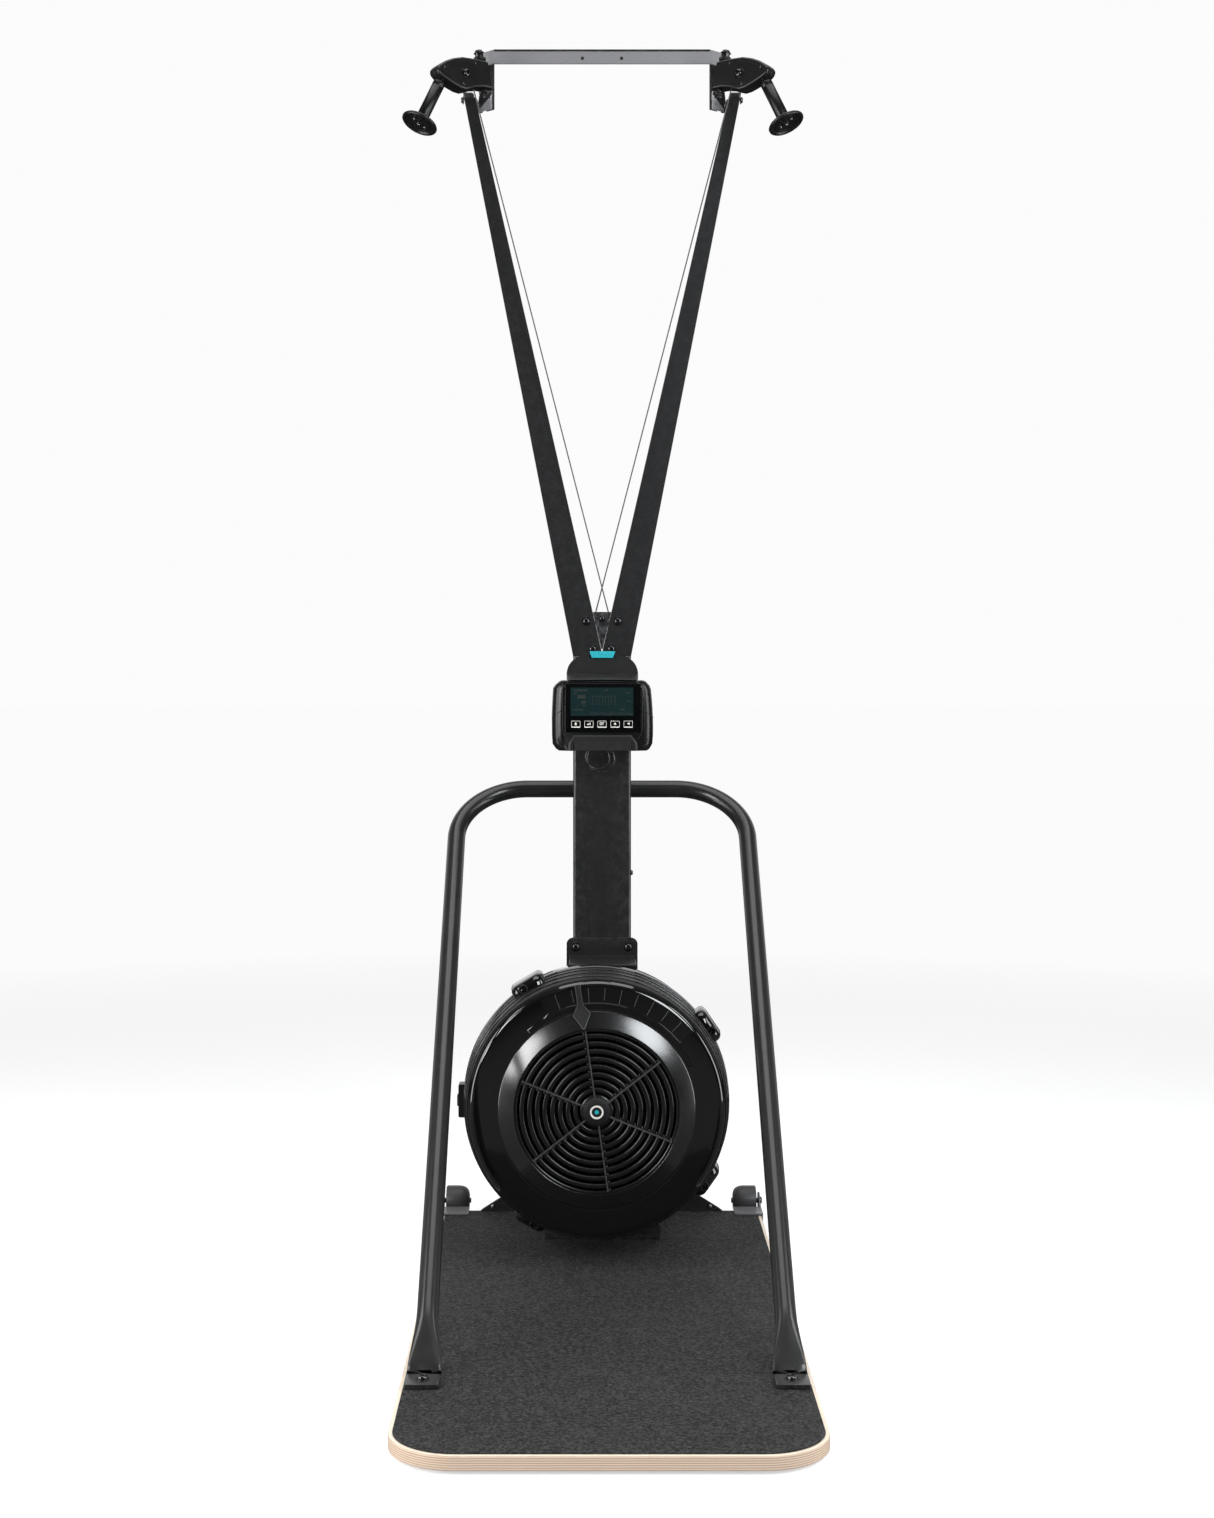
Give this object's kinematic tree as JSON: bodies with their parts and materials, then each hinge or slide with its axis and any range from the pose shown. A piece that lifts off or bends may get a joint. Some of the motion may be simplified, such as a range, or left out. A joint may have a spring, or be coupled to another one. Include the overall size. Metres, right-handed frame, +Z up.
{
  "type": "standing ski trainer",
  "caption": "Upright ski-pull trainer: forked mast with swivelling pulley heads and pull handles, air fan with damper, tilting console, and a gripped plywood platform with a stand tube.",
  "frame": {"origin": "on the floor, at the bottom centre of the whole object's bounding box", "axes": "+Z up along the mast, +X to the user's right as they face the fan, +Y away from the user towards the transport wheels"},
  "size_m": [0.708, 1.356, 2.193],
  "materials": {
    "frame_paint": "satin black powder coat",
    "bar_paint": "semi-gloss grey-black powder coat",
    "gloss_shell": "high-gloss black moulding",
    "black_plastic": "fine-textured black moulding",
    "birch": "clear-coated birch ply",
    "grit": "coarse granular grip surface",
    "rubber": "matte black rubber",
    "steel": "zinc-plated",
    "alloy": "machined",
    "glass": "tinted display lens",
    "cyan": "moulded soft insert",
    "cord": "braided line",
    "key": "keycap with a pale outline"
  },
  "bodies": {
    "frame": {"plywood_board": "birch", "grip_mat": "grit", "mast_column": "frame_paint", "mast_foot_bracket": "frame_paint", "rear_brace_plate": "frame_paint", "arm_left": "frame_paint", "arm_right": "frame_paint", "arm_gusset": "frame_paint", "top_crossbar": "bar_paint", "stand_tube": "frame_paint", "stand_clamp": "frame_paint", "fan_rear_shell": "gloss_shell", "fan_front_shell": "gloss_shell", "fan_grille": "black_plastic", "hub_cap": "black_plastic", "drum_bearing_block": "steel", "fan_top_bracket": "frame_paint", "console_arm": "frame_paint", "console_lead": "rubber", "rubber_foot_front_left": "rubber", "rubber_foot_rear_left": "rubber", "wheel_bracket_left": "frame_paint", "top_bracket_left": "frame_paint", "swivel_pin_left": "steel", "drive_cord_left": "cord", "rubber_foot_front_right": "rubber", "rubber_foot_rear_right": "rubber", "wheel_bracket_right": "frame_paint", "top_bracket_right": "frame_paint", "swivel_pin_right": "steel", "drive_cord_right": "cord"},
    "damper": {"damper_ring": "black_plastic", "damper_lever": "black_plastic"},
    "fan": {"fan_wheel": "black_plastic", "fan_shaft": "steel"},
    "console": {"console_housing": "black_plastic", "console_screen": "glass", "device_rest": "black_plastic", "device_rest_tab": "cyan"},
    "key_1": {"key_1": "key"},
    "key_2": {"key_2": "key"},
    "key_3": {"key_3": "key"},
    "key_4": {"key_4": "key"},
    "key_5": {"key_5": "key"},
    "wheel_left": {"transport_wheel_left": "rubber"},
    "head_left": {"pulley_housing_left": "black_plastic", "pulley_axle_left": "steel", "handle_cord_left": "cord"},
    "pulley_left": {"top_pulley_left": "alloy"},
    "handle_left": {"handle_grip_left": "rubber", "handle_flange_left": "black_plastic"},
    "drum_left": {"cord_drum_left": "alloy"},
    "wheel_right": {"transport_wheel_right": "rubber"},
    "head_right": {"pulley_housing_right": "black_plastic", "pulley_axle_right": "steel", "handle_cord_right": "cord"},
    "pulley_right": {"top_pulley_right": "alloy"},
    "handle_right": {"handle_grip_right": "rubber", "handle_flange_right": "black_plastic"},
    "drum_right": {"cord_drum_right": "alloy"}
  },
  "joints": [
    {"name": "head_swivel_left", "type": "hinge", "parent": "frame", "child": "head_left", "pos_m": [-0.2095, 0.403, 2.091], "axis": [0.1795, 0, -0.9838], "range_deg": [-50, 40], "deforming": ["drive_cord_left"]},
    {"name": "handle_pull_left", "type": "slide", "parent": "head_left", "child": "handle_left", "axis": [-0.3709, -0.3119, -0.8747], "range_m": [0, 1.1], "stiffness_N_per_m": 15, "springref_m": -1, "deforming": ["handle_cord_left"]},
    {"name": "top_pulley_spin_left", "type": "hinge", "parent": "head_left", "child": "pulley_left", "pos_m": [-0.25282, 0.37047, 2.116], "axis": [0.6384, -0.7608, 0.1164], "continuous": true},
    {"name": "drum_spin_left", "type": "hinge", "parent": "frame", "child": "drum_left", "pos_m": [-0.0115, 0.477, 0.299], "axis": [0, -1, 0], "continuous": true},
    {"name": "head_swivel_right", "type": "hinge", "parent": "frame", "child": "head_right", "pos_m": [0.2095, 0.403, 2.091], "axis": [0.1795, 0, 0.9838], "range_deg": [-50, 40], "deforming": ["drive_cord_right"]},
    {"name": "handle_pull_right", "type": "slide", "parent": "head_right", "child": "handle_right", "axis": [0.3709, -0.3119, -0.8747], "range_m": [0, 1.1], "stiffness_N_per_m": 15, "springref_m": -1, "deforming": ["handle_cord_right"]},
    {"name": "top_pulley_spin_right", "type": "hinge", "parent": "head_right", "child": "pulley_right", "pos_m": [0.25282, 0.37047, 2.116], "axis": [0.6384, 0.7608, -0.1164], "continuous": true},
    {"name": "drum_spin_right", "type": "hinge", "parent": "frame", "child": "drum_right", "pos_m": [-0.0115, 0.503, 0.299], "axis": [0, 1, 0], "continuous": true},
    {"name": "fan_spin", "type": "hinge", "parent": "frame", "child": "fan", "pos_m": [-0.0115, 0.25, 0.299], "axis": [0, 1, 0], "continuous": true},
    {"name": "damper_turn", "type": "hinge", "parent": "frame", "child": "damper", "pos_m": [-0.0115, 0.21, 0.299], "axis": [0, -1, 0], "range_deg": [-53, 13]},
    {"name": "console_tilt", "type": "hinge", "parent": "frame", "child": "console", "pos_m": [0, 0.422, 0.96], "axis": [1, 0, 0], "range_deg": [-20, 12], "deforming": ["console_lead"]},
    {"name": "key_1_press", "type": "slide", "parent": "console", "child": "key_1", "axis": [0, 1, 0], "range_m": [0, 0.0008], "stiffness_N_per_m": 150, "springref_m": -0.002},
    {"name": "key_2_press", "type": "slide", "parent": "console", "child": "key_2", "axis": [0, 1, 0], "range_m": [0, 0.0008], "stiffness_N_per_m": 150, "springref_m": -0.002},
    {"name": "key_3_press", "type": "slide", "parent": "console", "child": "key_3", "axis": [0, 1, 0], "range_m": [0, 0.0008], "stiffness_N_per_m": 150, "springref_m": -0.002},
    {"name": "key_4_press", "type": "slide", "parent": "console", "child": "key_4", "axis": [0, 1, 0], "range_m": [0, 0.0008], "stiffness_N_per_m": 150, "springref_m": -0.002},
    {"name": "key_5_press", "type": "slide", "parent": "console", "child": "key_5", "axis": [0, 1, 0], "range_m": [0, 0.0008], "stiffness_N_per_m": 150, "springref_m": -0.002},
    {"name": "wheel_spin_left", "type": "hinge", "parent": "frame", "child": "wheel_left", "pos_m": [-0.274, 0.65, 0.034], "axis": [1, 0, 0], "continuous": true},
    {"name": "wheel_spin_right", "type": "hinge", "parent": "frame", "child": "wheel_right", "pos_m": [0.274, 0.65, 0.034], "axis": [1, 0, 0], "continuous": true}
  ],
  "couplings": [
    {"joint": "top_pulley_spin_left", "follows": "handle_pull_left", "rad_per_m": 48.66},
    {"joint": "drum_spin_left", "follows": "handle_pull_left", "rad_per_m": 31.7},
    {"joint": "top_pulley_spin_right", "follows": "handle_pull_right", "rad_per_m": 48.66},
    {"joint": "drum_spin_right", "follows": "handle_pull_right", "rad_per_m": 31.7}
  ]
}
